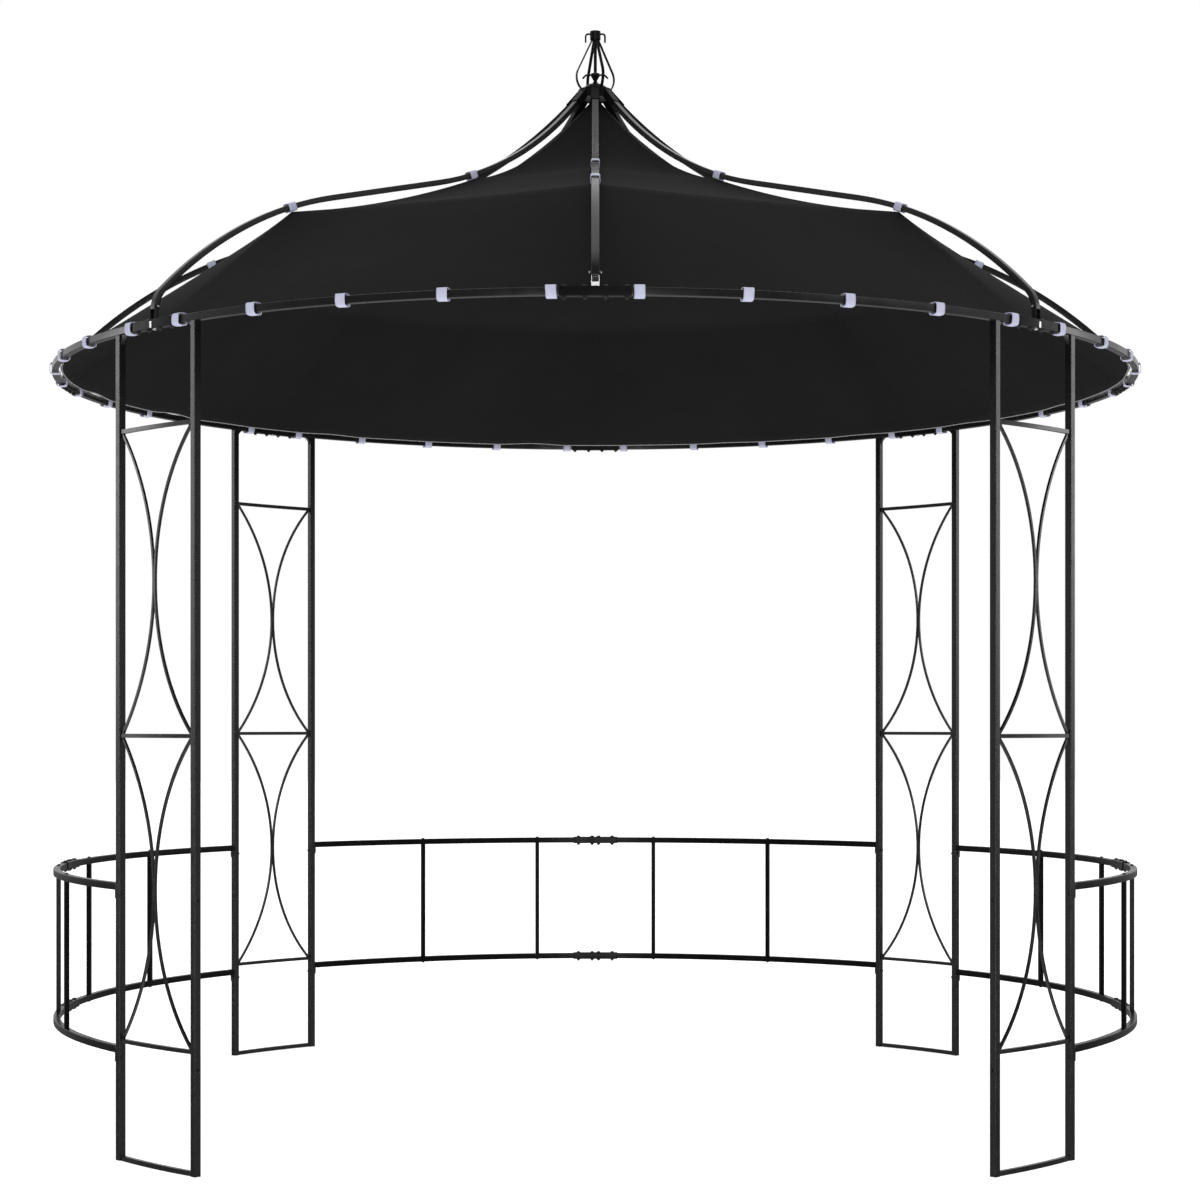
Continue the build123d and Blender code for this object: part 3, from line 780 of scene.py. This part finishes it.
# Stage, light and camera
def white_floor():
    """Floor that clips to white and throws no light back on the pavilion."""
    grid = bmesh.new()
    bmesh.ops.create_grid(grid, x_segments=1, y_segments=1, size=FLOOR_HALF)
    mesh = bpy.data.meshes.new("floor")
    grid.to_mesh(mesh)
    grid.free()
    material, _, shader = new_material("floor")
    shader.inputs["Base Color"].default_value = (0.90, 0.90, 0.90, 1)
    shader.inputs["Roughness"].default_value = 0.9
    shader.inputs["Specular IOR Level"].default_value = 0.0
    shader.inputs["Emission Color"].default_value = (1, 1, 1, 1)
    shader.inputs["Emission Strength"].default_value = 0.66
    mesh.materials.append(material)
    floor = bpy.data.objects.new("floor", mesh)
    floor.visible_diffuse = False
    floor.visible_glossy = False
    bpy.context.scene.collection.objects.link(floor)


def studio_room():
    """White to the camera; for light, a room with side boxes, a pale wall behind and a soft ceiling."""
    world = bpy.data.worlds.new("studio")
    bpy.context.scene.world = world
    world.use_nodes = True
    tree = world.node_tree
    direction = tree.nodes.new("ShaderNodeTexCoord")
    split = tree.nodes.new("ShaderNodeSeparateXYZ")
    tree.links.new(direction.outputs["Generated"], split.inputs["Vector"])
    across, depth, height = split.outputs
    beside = ramp(tree, combined(tree, "ABSOLUTE", across), (0.86, 0.95), (0.0, 1.0))
    behind = ramp(tree, depth, (0.14, 0.22), (0.0, 1.0))
    before = ramp(tree, depth, (0.10, -0.05), (0.0, 0.55))
    over_horizon = ramp(tree, height, (0.00, 0.06), (0.0, 6.0))
    under_top = ramp(tree, height, (0.60, 0.35), (0.0, 1.0))
    backdrop = ramp(tree, depth, (0.10, 0.40), (0.18, 0.90))
    dim_foot = ramp(tree, height, (-0.05, 0.02), (0.30, 1.0))
    ceiling = ramp(tree, height, (0.70, 0.96), (0.10, 1.15))
    ground = ramp(tree, height, (-0.25, -0.70), (0.10, 1.1))
    side_boxes = combined(tree, "MULTIPLY", combined(tree, "MULTIPLY", beside, behind),
                          combined(tree, "MULTIPLY", over_horizon, under_top))
    side_fill = combined(tree, "MULTIPLY", beside, before)
    room = combined(tree, "MULTIPLY", backdrop, dim_foot)
    for part in (side_boxes, side_fill, ceiling, ground):
        room = combined(tree, "MAXIMUM", room, part)
    ray = tree.nodes.new("ShaderNodeLightPath")
    seen = tree.nodes.new("ShaderNodeMix")
    seen.data_type = "FLOAT"
    seen.inputs[3].default_value = 1.0
    tree.links.new(ray.outputs["Is Camera Ray"], seen.inputs[0])
    tree.links.new(room, seen.inputs[2])
    background = tree.nodes["Background"]
    background.inputs["Color"].default_value = (1, 1, 1, 1)
    tree.links.new(seen.outputs[0], background.inputs["Strength"])


def area_light(name, place, aim, size, power):
    lamp = bpy.data.lights.new(name, "AREA")
    lamp.size = size
    lamp.energy = power
    made = bpy.data.objects.new(name, lamp)
    made.location = place
    made.rotation_euler = (Vector(aim) - Vector(place)).to_track_quat("-Z", "Y").to_euler()
    bpy.context.scene.collection.objects.link(made)


def photo_camera():
    """Level camera in front, shifted so that axis and horizon fall where the photograph has them."""
    lens = bpy.data.cameras.new("camera")
    lens.sensor_width = SENSOR
    lens.lens = SENSOR * FOCAL_PIXELS / FRAME_PIXELS
    lens.shift_x = (FRAME_PIXELS / 2 - AXIS_COLUMN) / FRAME_PIXELS
    lens.shift_y = (HORIZON_ROW - FRAME_PIXELS / 2) / FRAME_PIXELS
    lens.clip_end = FAR
    camera = bpy.data.objects.new("camera", lens)
    camera.location = (0, -CAMERA_DISTANCE, CAMERA_HEIGHT)
    camera.rotation_euler = (math.radians(90), 0, 0)
    bpy.context.scene.collection.objects.link(camera)
    bpy.context.scene.camera = camera


white_floor()
studio_room()
for lamp_settings in LAMPS:
    area_light(*lamp_settings)
photo_camera()
bpy.context.scene.view_settings.view_transform = "Standard"
